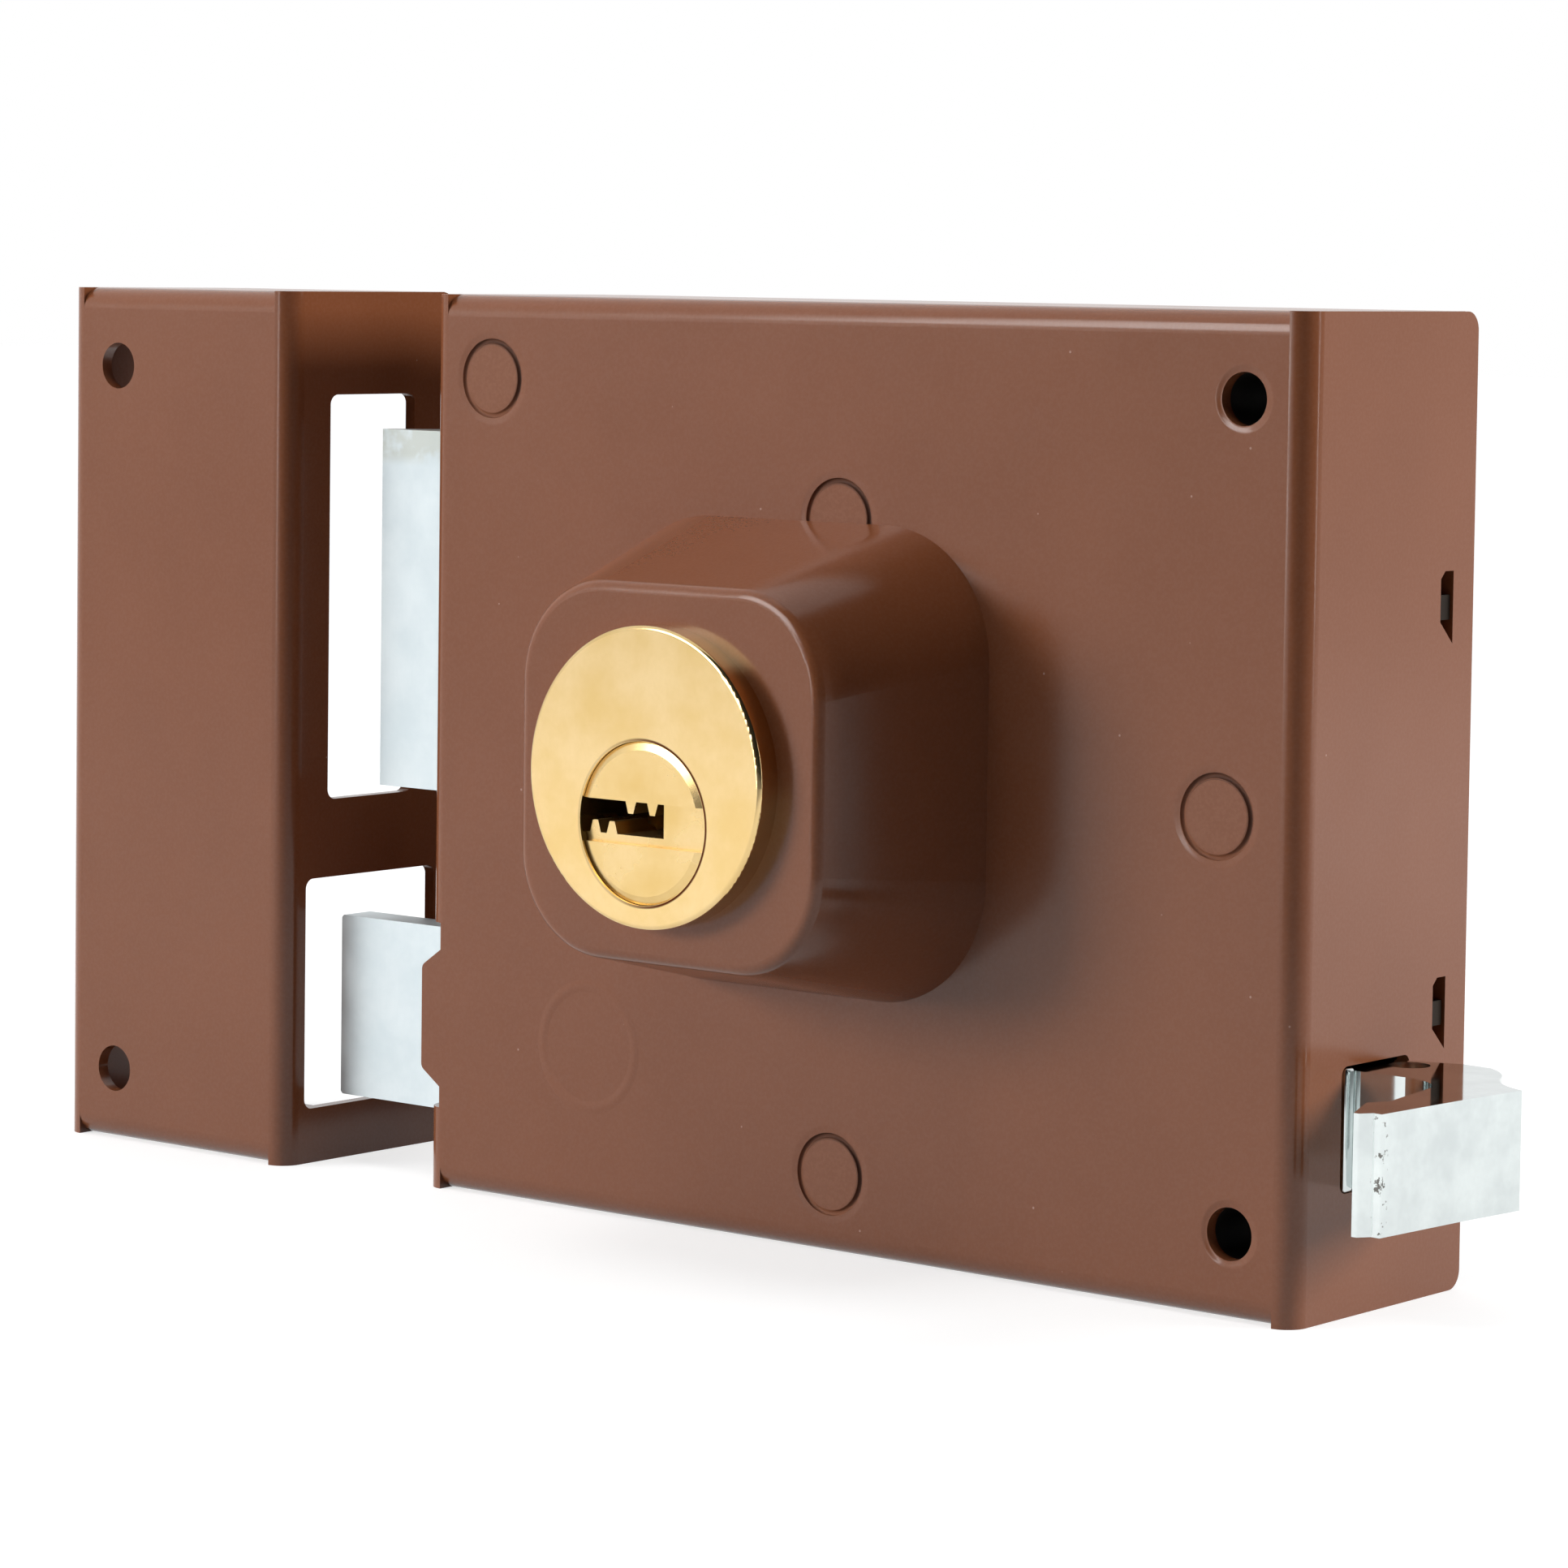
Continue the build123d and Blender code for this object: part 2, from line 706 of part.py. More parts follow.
# Deadbolt: its notch is centred under the plug halfway through one turn of the cam
notch_x = -deadbolt_throw / 2
bolt_top = bottom + deadbolt_low + deadbolt_height
lug_top = -cam_radius - lug_cam_gap
tooth_bottom = -cam_tooth_reach - notch_clearance
deadbolt_tip = left - deadbolt_out
head_right = deadbolt_tip + deadbolt_head_length
tail_right = deadbolt_tip + deadbolt_length
deadbolt_points = [
    (deadbolt_tip, bottom + deadbolt_low),
    (head_right, bottom + deadbolt_low),
    (head_right, bottom + deadbolt_tail_low),
    (tail_right, bottom + deadbolt_tail_low),
    (tail_right, bolt_top),
    (left + lug_right, bolt_top),
    (left + lug_right, lug_top),
    (notch_x + notch_width / 2, lug_top),
    (notch_x + notch_floor / 2, tooth_bottom),
    (notch_x - notch_floor / 2, tooth_bottom),
    (notch_x - notch_width / 2, lug_top),
    (left + lug_left, lug_top),
    (left + lug_left, bolt_top),
    (deadbolt_tip, bolt_top),
]
with BuildPart() as deadbolt:
    outline(deadbolt_points, deadbolt_front, deadbolt_back)
    chamfer(edges().filter_by(Axis.Y).group_by(Axis.X)[0], bolt_edge)
    slot_length = deadbolt_throw + 2 * (stud_radius + stud_end_gap)
    with BuildSketch(layer(deadbolt_back)) as guide_slots:
        with Locations(*((x - deadbolt_throw / 2, z) for x, z in stud_places)):
            SlotOverall(slot_length, 2 * (stud_radius + slide_gap / 2))
    extrude(guide_slots.sketch, amount=deadbolt_thickness, mode=Mode.SUBTRACT)
finish(deadbolt, "deadbolt")

with BuildPart() as deadbolt_studs:
    rounds(stud_places, stud_radius, front + stud_front_from_front, plate_front)
    rounds(stud_places, stud_spigot_radius, plate_front, back)
finish(deadbolt_studs, "deadbolt_studs")


# Latch: a thick bolt, bevelled on the side that meets the strike
latch_tip = left - latch_out
with BuildPart() as latch_bolt:
    block(
        (latch_tip, latch_front, bottom + latch_low),
        (latch_tip + latch_length, latch_back, bottom + latch_top),
    )
    bevel = latch_thickness - latch_nose
    with BuildSketch(Plane.XY.offset(bottom + latch_low)) as bevel_section:
        with BuildLine():
            Polyline(
                (latch_tip, latch_back - bevel),
                (latch_tip + bevel, latch_back),
                (latch_tip, latch_back),
                close=True,
            )
        make_face()
    extrude(bevel_section.sketch, amount=latch_height, mode=Mode.SUBTRACT)
    rounds(latch_rivet_places, rivet_radius + rivet_gap, latch_back - latch_rivet_bite - fixed_gap,
           latch_back, Mode.SUBTRACT)
finish(latch_bolt, "latch_bolt")

slide_top = bottom + latch_top - slide_inset
slide_points = [
    (left + slide_left, bottom + latch_low + slide_inset),
    (left + slide_neck_x, bottom + latch_low + slide_inset),
    (left + slide_neck_x, bottom + slide_bar_low),
    (left + slide_arm_left, bottom + slide_bar_low),
    (left + slide_arm_left, bottom + slide_foot_low),
    (left + slide_foot_right, bottom + slide_foot_low),
    (left + slide_foot_right, bottom + slide_foot_high),
    (left + slide_arm_right, bottom + slide_foot_high),
    (left + slide_arm_right, slide_top),
    (left + spring_lug_right, slide_top),
    (left + spring_lug_right, slide_top + spring_lug_rise),
    (left + spring_lug_left, slide_top + spring_lug_rise),
    (left + spring_lug_left, slide_top),
    (left + slide_left, slide_top),
]
with BuildPart() as latch_slide:
    outline(slide_points, slide_front, slide_back)
    block(
        (left + spring_lug_right - slide_thickness, slide_front - spring_tab_reach,
         slide_top + spring_tab_low),
        (left + spring_lug_right, slide_back, slide_top + spring_lug_rise),
    )
    with BuildSketch(Plane.YZ.offset(left + spring_lug_left)) as rod_seat:
        with Locations(spring_axis):
            Circle(rod_radius + rivet_gap)
    extrude(rod_seat.sketch, amount=spring_lug_right, mode=Mode.SUBTRACT)
    slot_width = 2 * (pillar_radius + slide_gap / 2)
    with BuildSketch(layer(slide_back)) as pillar_slot:
        with Locations((mid_x - latch_travel / 2, upper_pillar_z)):
            SlotOverall(latch_travel + 2 * (pillar_radius + slide_gap), slot_width)
    extrude(pillar_slot.sketch, amount=slide_thickness, mode=Mode.SUBTRACT)
    rounds(latch_rivet_places + pull_rivet_places, rivet_radius + rivet_gap, slide_front,
           slide_back, Mode.SUBTRACT)
finish(latch_slide, "latch_slide")

with BuildPart() as latch_rivets:
    rounds(latch_rivet_places, rivet_radius, latch_back - latch_rivet_bite, slide_back)
    rounds(latch_rivet_places, rivet_head_radius, slide_back, slide_back + rivet_head_height)
finish(latch_rivets, "latch_rivets")


# Spring rod, riveted to the slide's lug, and the spring between lug and bracket
rod_left = left + spring_lug_right - slide_thickness
rod_right = left + bracket_left + bracket_thickness + rod_overhang
with BuildPart() as latch_rod:
    with BuildSketch(Plane.YZ.offset(rod_left)) as rod_section:
        with Locations(spring_axis):
            Circle(rod_radius)
    extrude(rod_section.sketch, amount=rod_right - rod_left)
finish(latch_rod, "latch_rod")

spring_left = left + spring_lug_right
spring_right = left + bracket_left
with BuildPart() as latch_spring:
    with BuildSketch(Plane.YZ.offset(spring_left)):
        with Locations(spring_axis):
            Circle(spring_radius)
            Circle(spring_bore, mode=Mode.SUBTRACT)
    extrude(amount=spring_right - spring_left)
finish(latch_spring, "latch_spring")


# Pull: a neck through the side wall that hooks forward into a finger flange
def pull_point(reach_share, span_share):
    """A point of the pull's plan, as shares of its reach and of its span."""
    return (
        right + reach_share * pull_reach,
        front - pull_forward + span_share * pull_span,
    )


neck_front = front + neck_front_from_front
neck_back = front + neck_back_from_front
tang_front = front + tang_front_from_front
with BuildPart() as pull:
    with BuildSketch(Plane.XY.offset(bottom + pull_low)):
        with BuildLine():
            Polyline(
                (left + tang_left, latch_back),
                (left + tang_left, tang_front),
                (left + neck_inner_x, tang_front),
                (left + neck_inner_x, neck_front),
                (right + pull_reach / 3, neck_front),
            )
            ThreePointArc(
                (right + pull_reach / 3, neck_front),
                pull_point(0.51, 0.625),
                pull_point(0.615, 0.552),
            )
            Polyline(
                pull_point(0.615, 0.552),
                pull_point(0.677, 0.329),
                pull_point(0.700, 0.256),
                pull_point(0.636, 0.182),
                pull_point(0.769, 0.000),
                pull_point(0.800, 0.000),
                pull_point(0.844, 0.036),
                pull_point(0.897, 0.034),
                pull_point(0.949, 0.424),
                pull_point(1.000, 0.692),
            )
            ThreePointArc(
                pull_point(1.000, 0.692),
                pull_point(0.838, 0.744),
                pull_point(0.723, 0.826),
            )
            ThreePointArc(
                pull_point(0.723, 0.826),
                pull_point(0.625, 0.925),
                pull_point(0.492, 0.991),
            )
            Polyline(
                pull_point(0.492, 0.991),
                pull_point(0.318, 1.000),
                (right, neck_back),
                (left + neck_inner_x, neck_back),
                (left + neck_inner_x, latch_back),
                (left + tang_left, latch_back),
            )
        make_face()
    extrude(amount=pull_height)
    with BuildSketch(Plane.XY.offset(bottom + pull_low + pull_height)) as dimple:
        with Locations((right + pull_hole_x, front + pull_hole_from_front)):
            Circle(pull_hole_radius)
    extrude(dimple.sketch, amount=-pull_hole_depth, mode=Mode.SUBTRACT)
    rounds(pull_rivet_places, rivet_radius + rivet_gap, tang_front, latch_back, Mode.SUBTRACT)
finish(pull, "pull")

with BuildPart() as pull_rivets:
    rounds(pull_rivet_places, rivet_radius, tang_front, slide_back)
    rounds(pull_rivet_places, rivet_head_radius, slide_back, slide_back + rivet_head_height)
    rounds(pull_rivet_places, rivet_head_radius, tang_front - rivet_head_height, tang_front)
finish(pull_rivets, "pull_rivets")


# Strike box with its two windows and two screw holes
strike_screw_places = [
    (strike_left + strike_screw_inset, mid_z - strike_screw_drop + side * screw_pitch / 2)
    for side in (-1, 1)
]
with BuildPart() as strike_box:
    folded_shell(strike_left, strike_right, strike_front, strike_back, bottom, top)
    rounds(strike_screw_places, screw_hole_radius, strike_front - overrun,
           strike_front + sheet, Mode.SUBTRACT)
    side_window(strike_right, strike_front + latch_window_front,
                strike_front + latch_window_front + latch_window_depth,
                bottom + strike_latch_window_low,
                bottom + strike_latch_window_low + strike_latch_window_height,
                window_corner_radius)
    side_window(strike_right, strike_front + bolt_window_front,
                strike_front + bolt_window_front + bolt_window_depth,
                bottom + bolt_window_low,
                bottom + bolt_window_low + bolt_window_height, window_corner_radius)
finish(strike_box, "strike_box")
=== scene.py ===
"""Looks of the rim box lock and its strike box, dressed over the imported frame. Metres, Z up."""

import math

import bmesh
import bpy
from mathutils import Matrix, Vector


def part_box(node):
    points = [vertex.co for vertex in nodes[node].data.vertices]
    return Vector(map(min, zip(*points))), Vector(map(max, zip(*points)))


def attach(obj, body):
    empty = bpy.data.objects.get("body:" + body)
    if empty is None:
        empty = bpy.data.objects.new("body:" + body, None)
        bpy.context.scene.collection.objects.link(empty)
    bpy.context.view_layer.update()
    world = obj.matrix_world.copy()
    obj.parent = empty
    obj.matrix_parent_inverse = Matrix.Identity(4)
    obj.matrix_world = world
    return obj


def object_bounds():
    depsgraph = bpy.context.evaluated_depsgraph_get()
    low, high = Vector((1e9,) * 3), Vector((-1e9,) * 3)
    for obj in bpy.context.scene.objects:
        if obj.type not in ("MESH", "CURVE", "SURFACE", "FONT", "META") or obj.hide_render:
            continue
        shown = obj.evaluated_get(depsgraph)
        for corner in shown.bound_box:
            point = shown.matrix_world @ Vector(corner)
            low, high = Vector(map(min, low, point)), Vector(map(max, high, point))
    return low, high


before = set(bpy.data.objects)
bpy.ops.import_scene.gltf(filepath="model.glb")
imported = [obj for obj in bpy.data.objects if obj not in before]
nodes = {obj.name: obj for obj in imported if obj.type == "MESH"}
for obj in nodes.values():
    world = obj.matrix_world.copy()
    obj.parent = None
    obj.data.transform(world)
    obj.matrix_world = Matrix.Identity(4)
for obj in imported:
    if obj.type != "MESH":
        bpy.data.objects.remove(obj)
cad_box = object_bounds()
scene = bpy.context.scene
mm = 0.001


def linear(red, green, blue):
    """A colour given as 0-255 sRGB, in the linear values that the shaders take."""
    out = []
    for value in (red, green, blue):
        share = value / 255
        out.append(share / 12.92 if share <= 0.04045 else ((share + 0.055) / 1.055) ** 2.4)
    return (*out, 1.0)


def aimed(azimuth_deg, elevation_deg, distance=1.0):
    """The point at an azimuth (0 looks along +Y) and elevation from the origin."""
    a, e = math.radians(azimuth_deg), math.radians(elevation_deg)
    return Vector((math.sin(a) * math.cos(e), -math.cos(a) * math.cos(e), math.sin(e))) * distance


# Camera at the photograph's viewpoint
camera_azimuth, camera_elevation, camera_roll = 39.463, 3.348, math.radians(0.758)
camera_place = Vector((357.14, -466.43, 59.19)) * mm
focal_px = 6436.27
image_px = 1932
centre_px = (966.0, 695.79)
back = aimed(camera_azimuth, camera_elevation)
turn = math.radians(camera_azimuth)
flat_right = Vector((math.cos(turn), math.sin(turn), 0))
flat_up = back.cross(flat_right)
right = flat_right * math.cos(camera_roll) + flat_up * math.sin(camera_roll)
up = flat_up * math.cos(camera_roll) - flat_right * math.sin(camera_roll)
camera_data = bpy.data.cameras.new("camera")
camera_data.sensor_width = 36
camera_data.lens = camera_data.sensor_width * focal_px / image_px
camera_data.shift_x = (image_px / 2 - centre_px[0]) / image_px
camera_data.shift_y = (centre_px[1] - image_px / 2) / image_px
camera_data.clip_start = 0.01
camera_data.clip_end = 20
camera = bpy.data.objects.new("camera", camera_data)
scene.collection.objects.link(camera)
camera.matrix_world = Matrix.Translation(camera_place) @ Matrix((right, up, back)).transposed().to_4x4()
scene.camera = camera


class Nodes:
    """A node tree, with short calls to add and join nodes."""

    def __init__(self, tree):
        self.tree = tree

    def add(self, kind):
        return self.tree.nodes.new("ShaderNode" + kind)

    def put(self, socket, value):
        if isinstance(value, bpy.types.NodeSocket):
            self.tree.links.new(value, socket)
        elif value is not None:
            socket.default_value = value

    def math(self, operation, first, second=None):
        node = self.add("Math")
        node.operation = operation
        for socket, value in zip(node.inputs, (first, second)):
            self.put(socket, value)
        return node.outputs[0]

    def product(self, first, *others):
        for other in others:
            first = self.math("MULTIPLY", first, other)
        return first

    def hypotenuse(self, first, second):
        return self.math("SQRT", self.math("ADD", self.product(first, first), self.product(second, second)))

    def ramp(self, value, low, high, to_low=0.0, to_high=1.0):
        node = self.add("MapRange")
        node.interpolation_type = "SMOOTHSTEP"
        for socket, entry in zip(node.inputs, (value, low, high, to_low, to_high)):
            self.put(socket, entry)
        return node.outputs[0]

    def rays(self):
        return self.add("LightPath").outputs


class Graph(Nodes):
    """A material's node tree. Its textures follow the piece's own coordinates."""

    def __init__(self, name):
        self.material = bpy.data.materials.new(name)
        self.material.use_nodes = True
        super().__init__(self.material.node_tree)
        self.shader = self.tree.nodes["Principled BSDF"]
        self.coord = self.add("TexCoord").outputs["Object"]

    def set(self, **values):
        """Puts values on the shader's sockets, which are named with _ for a space."""
        for name, value in values.items():
            self.put(self.shader.inputs[name.replace("_", " ")], value)

    def noise(self, scale, detail=2.0, roughness=0.5, vector=None):
        node = self.add("TexNoise")
        self.put(node.inputs["Vector"], vector or self.coord)
        node.inputs["Scale"].default_value = scale
        node.inputs["Detail"].default_value = detail
        node.inputs["Roughness"].default_value = roughness
        return node.outputs["Fac"]

    def specks(self, scale, low, high, rarity):
        """Round specks: some of the cells, each as a smooth dot at its centre."""
        node = self.add("TexVoronoi")
        self.put(node.inputs["Vector"], self.coord)
        node.inputs["Scale"].default_value = scale
        dot = self.ramp(node.outputs["Distance"], low, high)
        return self.product(dot, self.math("GREATER_THAN", node.outputs["Color"], rarity))

    def mix(self, share, first, second):
        node = self.add("Mix")
        node.data_type = "RGBA"
        sockets = [s for s in node.inputs if s.type == "RGBA"]
        self.put(node.inputs[0], share)
        self.put(sockets[0], first)
        self.put(sockets[1], second)
        return [s for s in node.outputs if s.type == "RGBA"][0]

    def axes(self):
        node = self.add("SeparateXYZ")
        self.put(node.inputs[0], self.coord)
        return node.outputs

    def stretch(self, x, y, z):
        node = self.add("Mapping")
        self.put(node.inputs["Vector"], self.coord)
        node.inputs["Scale"].default_value = (x, y, z)
        return node.outputs[0]

    def bump(self, height, strength, distance, normal=None):
        node = self.add("Bump")
        node.inputs["Strength"].default_value = strength
        node.inputs["Distance"].default_value = distance
        self.put(node.inputs["Height"], height)
        self.put(node.inputs["Normal"], normal)
        return node.outputs[0]

    def line_distance(self, along, first, second):
        """Distance in metres from the line along axis 0, 1 or 2 through the two other places, given in mm."""
        others = [axis for index, axis in enumerate(self.axes()) if index != along]
        return self.hypotenuse(*(
            self.math("SUBTRACT", axis, place * mm) for axis, place in zip(others, (first, second))
        ))


# Soft studio light: white walls and ceiling, dim on the side where the photographer stands. The camera sees
# plain white, and the part that lights dull surfaces is a little weaker than the part that glossy ones mirror
scene.view_settings.view_transform = "Standard"
world = bpy.data.worlds.new("studio")
scene.world = world
world.use_nodes = True
world.cycles.sampling_method = "NONE"
sky = Nodes(world.node_tree)
facing = sky.add("VectorMath")
facing.operation = "DOT_PRODUCT"
sky.put(facing.inputs[0], sky.add("TexCoord").outputs["Generated"])
sky.put(facing.inputs[1], aimed(66, 10))
wall = sky.ramp(facing.outputs["Value"], 0.12, 0.30, 0.95, 0.02)
seen = sky.rays()
filling = sky.ramp(seen["Is Diffuse Ray"], 0.0, 1.0, 1.0, 0.8)
background = world.node_tree.nodes["Background"].inputs
background["Color"].default_value = (1.0, 1.0, 1.0, 1.0)
sky.put(background["Strength"], sky.math("MAXIMUM", sky.product(wall, filling), seen["Is Camera Ray"]))


def softbox(name, azimuth_deg, elevation_deg, distance, width, height, watts, mirrored, spread_deg=180):
    """An area light aimed at the lock: one that glossy faces mirror, or one that only lights it."""
    light = bpy.data.lights.new(name, "AREA")
    light.shape = "RECTANGLE"
    light.size, light.size_y = width, height
    light.energy = watts
    light.spread = math.radians(spread_deg)
    lamp = bpy.data.objects.new(name, light)
    lamp.visible_glossy = mirrored
    lamp.visible_diffuse = not mirrored
    lamp.location = aimed(azimuth_deg, elevation_deg, distance)
    lamp.rotation_mode = "QUATERNION"
    lamp.rotation_quaternion = (-lamp.location).to_track_quat("-Z", "Y")
    scene.collection.objects.link(lamp)


# Azimuth, elevation, distance, width, height, watts, mirrored and spread
softbox("key", -44, 12, 1.0, 0.32, 0.32, 0.69, False, 50)
softbox("side", 118, 18, 0.8, 0.25, 0.25, 6.8, False)
softbox("top", -10, 78, 0.8, 0.3, 0.3, 2.5, False)
softbox("window", -22, 32, 1.0, 0.62, 0.50, 6.5, True)
softbox("left_strip", -20, 8, 1.1, 0.05, 0.50, 0.85, True)
softbox("right_strip", 112, 8, 0.9, 0.05, 0.50, 0.6, True)


def stage_plane(name, corners, material):
    """A flat piece of the stage, which isn't part of the lock."""
    mesh = bpy.data.meshes.new(name)
    mesh.from_pydata(corners, [], [(0, 1, 2, 3)])
    mesh.materials.append(material)
    plane = bpy.data.objects.new(name, mesh)
    scene.collection.objects.link(plane)
    return plane


# Pale floor that glows softly. Its mirror image is dim on the photographer's side, away from the lock
floor = Graph("floor_pale")
floor_x, floor_y, _ = floor.axes()
from_lock = floor.hypotenuse(floor_x, floor_y)
dim_side = aimed(58, 0)
along_dim = floor.math("ADD", floor.product(floor_x, dim_side.x), floor.product(floor_y, dim_side.y))
toward_dim = floor.math("DIVIDE", along_dim, from_lock)
dimming = floor.product(floor.ramp(toward_dim, 0.40, 0.56), floor.ramp(from_lock, 0.22, 0.40))
mirrored_glow = floor.product(floor.math("SUBTRACT", 1.0, dimming), 0.95)
ray = floor.rays()
shown = floor.math("MAXIMUM", ray["Is Camera Ray"], floor.product(ray["Is Glossy Ray"], mirrored_glow))
floor.set(
    Base_Color=floor.mix(floor.noise(3, 2), linear(158, 158, 158), linear(162, 162, 162)),
    Roughness=0.8,
    Emission_Color=(1.0, 1.0, 1.0, 1.0),
    Emission_Strength=floor.product(floor.ramp(from_lock, 0.1, 0.6, 0.70, 0.80), shown),
)
floor.material.cycles.emission_sampling = "NONE"
floor_z = cad_box[0].z
reach = 4.0
floor_corners = ((-reach, -reach), (reach, -reach), (reach, reach), (-reach, reach))
stage_plane("floor", [(x, y, floor_z) for x, y in floor_corners], floor.material)

# Dark card behind the slot between the lock and the strike, which the camera doesn't see. It darkens what the
# strike's inner side mirrors, and shades a little of the floor
card = Graph("card_dark")
card.set(
    Base_Color=card.mix(card.noise(40, 2), linear(24, 22, 21), linear(32, 30, 28)),
    Roughness=0.9,
    Specular_IOR_Level=0.1,
)
card_x, card_front, card_back, card_top = -53 * mm, 0.5 * mm, 28 * mm, 54 * mm
card_corners = ((card_front, floor_z), (card_back, floor_z), (card_back, card_top), (card_front, card_top))
card_plane = stage_plane("gap_card", [(card_x, y, z) for y, z in card_corners], card.material)
card_plane.visible_camera = False


def enamel(name, hollows=()):
    """Glossy brown stove enamel: faint mottling, orange peel and a few pale specks.

    A hollow is a soft dip round a hole, given as x, z, radius, width and depth in mm.
    """
    g = Graph(name)
    tone = g.mix(g.ramp(g.noise(45, 3), 0.2, 0.8), linear(119, 69, 42), linear(124, 73, 46))
    grain = g.noise(2600, 2, 0.6)
    tone = g.mix(g.ramp(grain, 0.35, 0.7, 0.0, 0.12), tone, linear(142, 98, 80))
    tone = g.mix(g.product(g.specks(260, 0.045, 0.02, 0.72), 0.55), tone, linear(190, 160, 145))
    normal = g.bump(g.noise(520, 2), 0.10, 0.02 * mm)
    normal = g.bump(grain, 0.12, 0.01 * mm, normal)
    for x, z, radius, width, depth in hollows:
        off = g.math("ABSOLUTE", g.math("SUBTRACT", g.line_distance(1, x, z), radius * mm))
        normal = g.bump(g.ramp(off, 0.0, width * mm), 1.0, depth * mm, normal)
    g.set(
        Base_Color=tone,
        Roughness=g.ramp(g.noise(160, 3), 0.2, 0.8, 0.16, 0.20),
        IOR=1.5,
        Specular_IOR_Level=0.42,
        Normal=normal,
    )
    return g.material


def metal(name, light, dark, rough, patch, grain=2400, grain_depth=0.01, brushed=None, uneven=0.1,
          marked=None):
    """Plated or bare metal with cloudy tone, uneven gloss and a fine surface grain."""
    g = Graph(name)
    cloud = g.noise(patch, 4, 0.6)
    tone = g.mix(g.ramp(cloud, 0.3, 0.7), linear(*dark), linear(*light))
    fine = g.noise(grain, 3, 0.6, g.stretch(*brushed) if brushed else None)
    tone = g.mix(g.ramp(fine, 0.3, 0.8, 0.0, 0.18), tone, linear(*dark))
    shine = g.ramp(cloud, 0.25, 0.75, rough, rough + uneven)
    if marked:
        tone, shine = marked(g, tone, shine)
    g.set(Base_Color=tone, Roughness=shine, Metallic=1.0, Normal=g.bump(fine, 0.15, grain_depth * mm))
    return g.material


def plug_gap_painted_shade(g, tone, shine):
    """Painted shade in the gap round the plug, between it and the barrel: a dark line, fainter towards the
    left.
    """
    bore_radius = 8.65 * mm
    from_axis = g.line_distance(1, 0.0, 0.0)
    ring = g.product(
        g.ramp(from_axis, bore_radius + 0.01 * mm, bore_radius + 0.04 * mm),
        g.ramp(from_axis, bore_radius + 0.19 * mm, bore_radius + 0.37 * mm, 1.0, 0.0),
        # Painted shade is weaker on the left side of the plug
        g.ramp(g.axes()[0], -6 * mm, 3 * mm, 0.25, 1.0),
    )
    return g.mix(ring, tone, linear(84, 40, 18)), shine


def smudged(g, tone, shine):
    """Pale smudges along the latch's top end and a few fine nicks."""
    latch_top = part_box("latch_bolt")[1].z
    end = g.ramp(g.axes()[2], latch_top - 4.4 * mm, latch_top - 2.6 * mm)
    cloud = g.product(end, g.ramp(g.noise(260, 3, 0.6), 0.38, 0.56, 0.15, 0.75))
    tone = g.mix(cloud, tone, linear(193, 197, 189))
    nick = g.product(g.specks(160, 0.03, 0.015, 0.8), 0.6)
    return g.mix(nick, tone, linear(128, 130, 128)), shine


def pitted(g, tone, shine):
    """Small dark pits down the crease behind the pull's tip, and a copper tint in its dimple."""
    crease_place, dimple_place = (83.7, -42.4), (68.9, -14.2)
    crease = g.ramp(g.line_distance(2, *crease_place), 0.5 * mm, 1.1 * mm, 1.0, 0.0)
    pits = g.product(g.ramp(g.noise(1000, 3, 0.7), 0.59, 0.64), crease, 0.85)
    tone = g.mix(pits, tone, linear(70, 62, 54))
    dimple = g.ramp(g.line_distance(2, *dimple_place), 2.05 * mm, 2.2 * mm, 1.0, 0.0)
    copper = g.product(g.ramp(g.noise(700, 3), 0.35, 0.6), dimple)
    return g.mix(copper, tone, linear(255, 170, 84)), g.math("ADD", shine, g.product(dimple, 0.4))


def painted_ends():
    """Pillars: painted at their front ends, bare steel behind the cover."""
    g = Graph("pillar_ends")
    paint_ends, steel_starts = -29.5 * mm, -29.4 * mm
    bare = g.ramp(g.axes()[1], paint_ends, steel_starts)
    speck = g.ramp(g.noise(2600, 2, 0.6), 0.35, 0.7)
    paint = g.mix(speck, linear(122, 72, 45), linear(128, 78, 52))
    steel = g.mix(speck, linear(168, 170, 168), linear(146, 148, 146))
    g.set(
        Base_Color=g.mix(bare, paint, steel),
        Metallic=bare,
        Roughness=g.math("ADD", g.product(bare, 0.2), 0.18),
        Normal=g.bump(g.noise(520, 2), 0.10, 0.02 * mm),
        Specular_IOR_Level=0.42,
    )
    return g.material


def groove_painted_shade():
    """Enamel in the grooves round the pillars' ends, with painted shade: darker than the cover's front, and
    darkest at the upper right.
    """
    g = Graph("enamel_groove_shade")
    x, _, z = g.axes()
    # Painted shade: darkest towards the upper right, with a little noise
    shade = g.ramp(g.math("ADD", g.product(x, 0.6), g.product(z, 0.8)), -3.2 * mm, 2.2 * mm)
    shade = g.math("ADD", shade, g.ramp(g.noise(900, 2), 0.3, 0.7, -0.08, 0.08))
    g.set(
        Base_Color=g.mix(shade, linear(126, 80, 57), linear(86, 54, 40)),
        Roughness=0.6,
        Specular_IOR_Level=0.15,
    )
    return g.material


# Centres on the cover's front, x and z in mm
screw_holes = ((58.7, 45.75), (58.7, -39.05))
pillar_marks = ((-44.1, 45.3), (6.5, 31.41), (6.5, -39.3), (56.2, 3.35))
emboss_centre = (-28.5, -29.2)

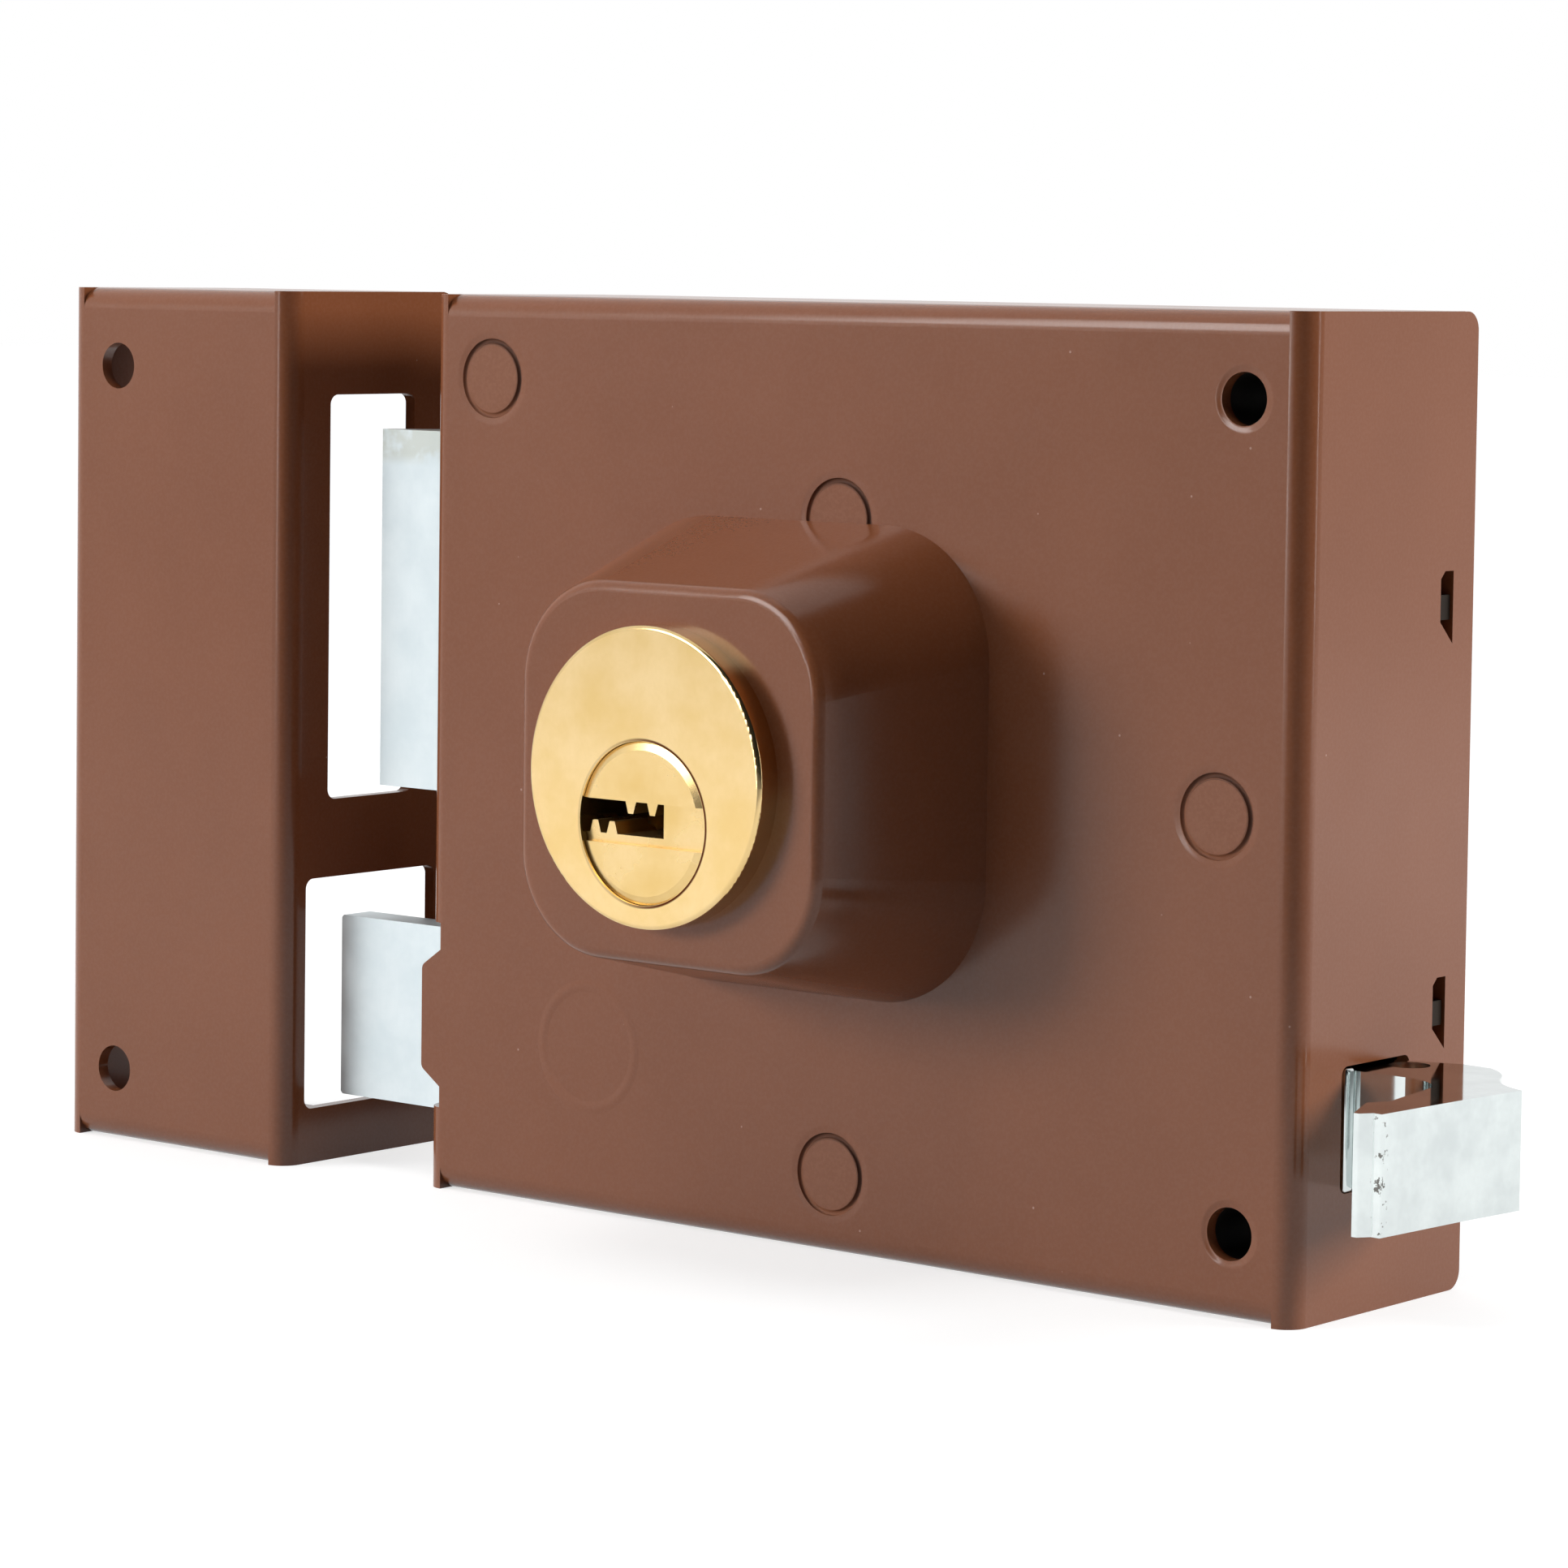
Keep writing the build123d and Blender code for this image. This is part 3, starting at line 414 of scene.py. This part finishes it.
brown = enamel("enamel_brown")
mark_hollows = [(*place, 4.4, 1.0, 0.09) for place in pillar_marks]
screw_hollows = [(*place, 2.7, 0.9, 0.16) for place in screw_holes]
cover_brown = enamel("enamel_cover", mark_hollows + screw_hollows)
inner_steel = metal("inner_steel", (176, 178, 176), (140, 142, 140), 0.38, 90)
# Screw sleeves in near-black steel: painted shade, so that the screw holes look dark inside
sleeve_steel_shade_dark = metal("sleeve_steel_shade_dark", (70, 66, 62), (38, 36, 34), 0.45, 90)
# Base plate in dark steel: partly a dark finish, partly painted shade, so its ears in the cover's slots look
# as dark as the shade there
plate_steel_shade_dark = metal("plate_steel_shade_dark", (64, 54, 46), (48, 41, 36), 0.45, 90)
spring = metal("spring_wire", (205, 205, 200), (150, 150, 146), 0.28, 300)
turned = dict(patch=110, grain=3200, uneven=0.05)
brass = metal("brass_face", (231, 203, 152), (221, 189, 127), 0.14, **turned)
brass_body = metal("brass_body", (231, 203, 152), (221, 189, 127), 0.14, marked=plug_gap_painted_shade, **turned)
brass_plug = metal("brass_plug", (229, 200, 146), (218, 185, 120), 0.24, **turned)
rolled = dict(patch=140, brushed=(1, 1, 0.15))
zinc = metal("bolt_plate", (219, 228, 231), (206, 217, 221), 0.30, **rolled)
latch_zinc = metal("latch_plate", (219, 228, 231), (208, 219, 223), 0.30, marked=smudged, **rolled)
chrome = metal("chrome", (222, 229, 228), (204, 211, 211), 0.05, patch=120, grain=1500, grain_depth=0.004,
               uneven=0.05, marked=pitted)

looks = (
    (cover_brown, ("case_cover",)),
    (brown, ("cylinder_housing", "strike_box")),
    (painted_ends(), ("case_pillars",)),
    (plate_steel_shade_dark, ("base_plate",)),
    (sleeve_steel_shade_dark, ("screw_sleeves",)),
    (inner_steel, ("housing_screws", "latch_slide", "latch_rivets", "pull_rivets", "latch_rod",
                   "deadbolt_studs", "plug_cam")),
    (spring, ("latch_spring", "pin_springs", "cylinder_clip", "cam_circlip")),
    (brass, ("key_pins", "driver_pins")),
    (brass_body, ("cylinder_body",)),
    (brass_plug, ("plug",)),
    (zinc, ("deadbolt",)),
    (latch_zinc, ("latch_bolt",)),
    (chrome, ("pull",)),
)
for material, names in looks:
    for name in names:
        mesh = nodes[name].data
        mesh.materials.clear()
        mesh.materials.append(material)

cover_front = -31.4 * mm
ring_steps = 96


def front_ring(name, place, profile, material):
    """A ring on the cover's front, turned round an axis along Y. The profile gives radius and sink in mm."""
    points, faces = [], []
    count = len(profile)
    for step in range(ring_steps):
        angle = 2 * math.pi * step / ring_steps
        cos, sin = math.cos(angle) * mm, math.sin(angle) * mm
        points += [(radius * cos, sink * mm, radius * sin) for radius, sink in profile]
        a, b = step * count, (step + 1) % ring_steps * count
        faces += [(a + i, a + i + 1, b + i + 1, b + i) for i in range(count - 1)]
    mesh = bpy.data.meshes.new(name)
    mesh.from_pydata(points, [], faces)
    mesh.polygons.foreach_set("use_smooth", [True] * len(faces))
    mesh.materials.append(material)
    ring = bpy.data.objects.new(name, mesh)
    ring.location = (place[0] * mm, cover_front, place[1] * mm)
    scene.collection.objects.link(ring)
    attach(ring, "case")


# Grooves round the pillars' ends, in enamel with painted shade
groove = (
    (4.56, -0.004), (4.50, 0.01), (4.46, 0.14), (4.38, 0.24), (4.20, 0.30),
    (4.04, 0.26), (3.95, 0.14), (3.89, 0.01), (3.80, -0.008), (3.76, -0.004),
)
groove_shade_material = groove_painted_shade()
for index, place in enumerate(pillar_marks, 1):
    front_ring(f"mark_groove_{index}", place, groove, groove_shade_material)

# Faint embossed ring low on the left, its edges just under the front
emboss_radius, emboss_half_width, emboss_edge, emboss_swell = 6.85, 0.8, 0.003, 0.053
swell = [
    (emboss_radius + emboss_half_width * share, emboss_edge - emboss_swell * (1 - share ** 2) ** 2)
    for share in (step / 10 for step in range(10, -11, -2))
]
front_ring("embossed_ring", emboss_centre, swell, brown)

# Plated ledge along the front of the pull's neck, which fills most of the slot
ledge_low, ledge_high = Vector((52.5, -22.75, -34.95)) * mm, Vector((66.9, -21.3, -22.25)) * mm
ledge_mesh = bpy.data.meshes.new("pull_ledge")
shape = bmesh.new()
bmesh.ops.create_cube(shape, size=1.0)
for vertex in shape.verts:
    vertex.co = [low + (0.5 + c) * (high - low) for low, high, c in zip(ledge_low, ledge_high, vertex.co)]
bmesh.ops.bevel(shape, geom=list(shape.edges), offset=0.3 * mm, segments=4, profile=0.5, affect="EDGES")
shape.to_mesh(ledge_mesh)
shape.free()
ledge_mesh.polygons.foreach_set("use_smooth", [True] * len(ledge_mesh.polygons))
ledge_mesh.materials.append(chrome)
ledge = bpy.data.objects.new("pull_ledge", ledge_mesh)
scene.collection.objects.link(ledge)
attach(ledge, "latch")
